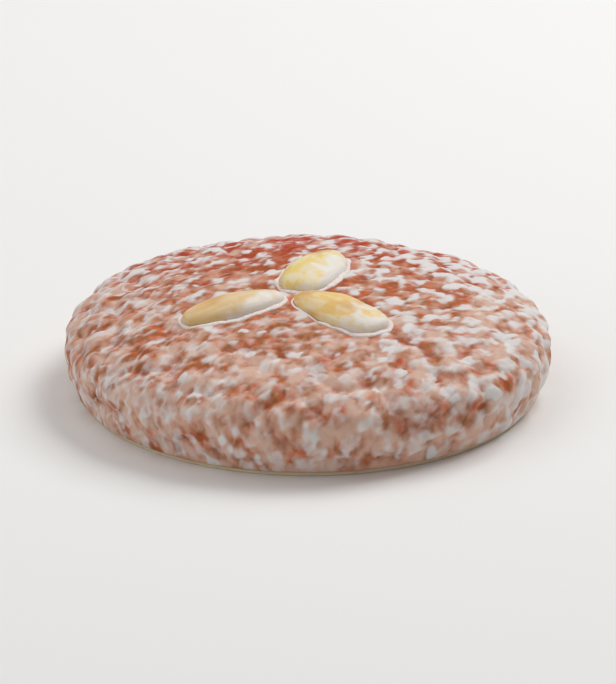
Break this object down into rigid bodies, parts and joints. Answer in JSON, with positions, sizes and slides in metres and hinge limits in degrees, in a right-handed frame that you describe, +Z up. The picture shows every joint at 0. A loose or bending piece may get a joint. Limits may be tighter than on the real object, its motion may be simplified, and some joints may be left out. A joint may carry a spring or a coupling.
{
  "type": "lebkuchen",
  "caption": "Round, domed, sugar-glazed lebkuchen with a craggy crust on a thin flat wafer, with whole blanched almonds pressed into its top in a trefoil.",
  "frame": {"origin": "middle of the wafer's underside, where the piece rests", "axes": "+Z up; -Y towards the picture's camera; +X to the right in the picture"},
  "size_m": [0.0898, 0.0904, 0.0224],
  "materials": {
    "glazed_crust": "baked nut dough, red-brown, under a thin sugar glaze that is milky and in white patches, satin",
    "almond": "blanched almond, cream to pale yellow, under a thin film of glaze, satin",
    "wafer": "pale baked wafer, matt, with a fine pressed grid"
  },
  "bodies": {
    "root": {"crust": "glazed_crust", "almond_left": "almond", "almond_right": "almond", "almond_back": "almond", "wafer": "wafer"}
  },
  "joints": []
}
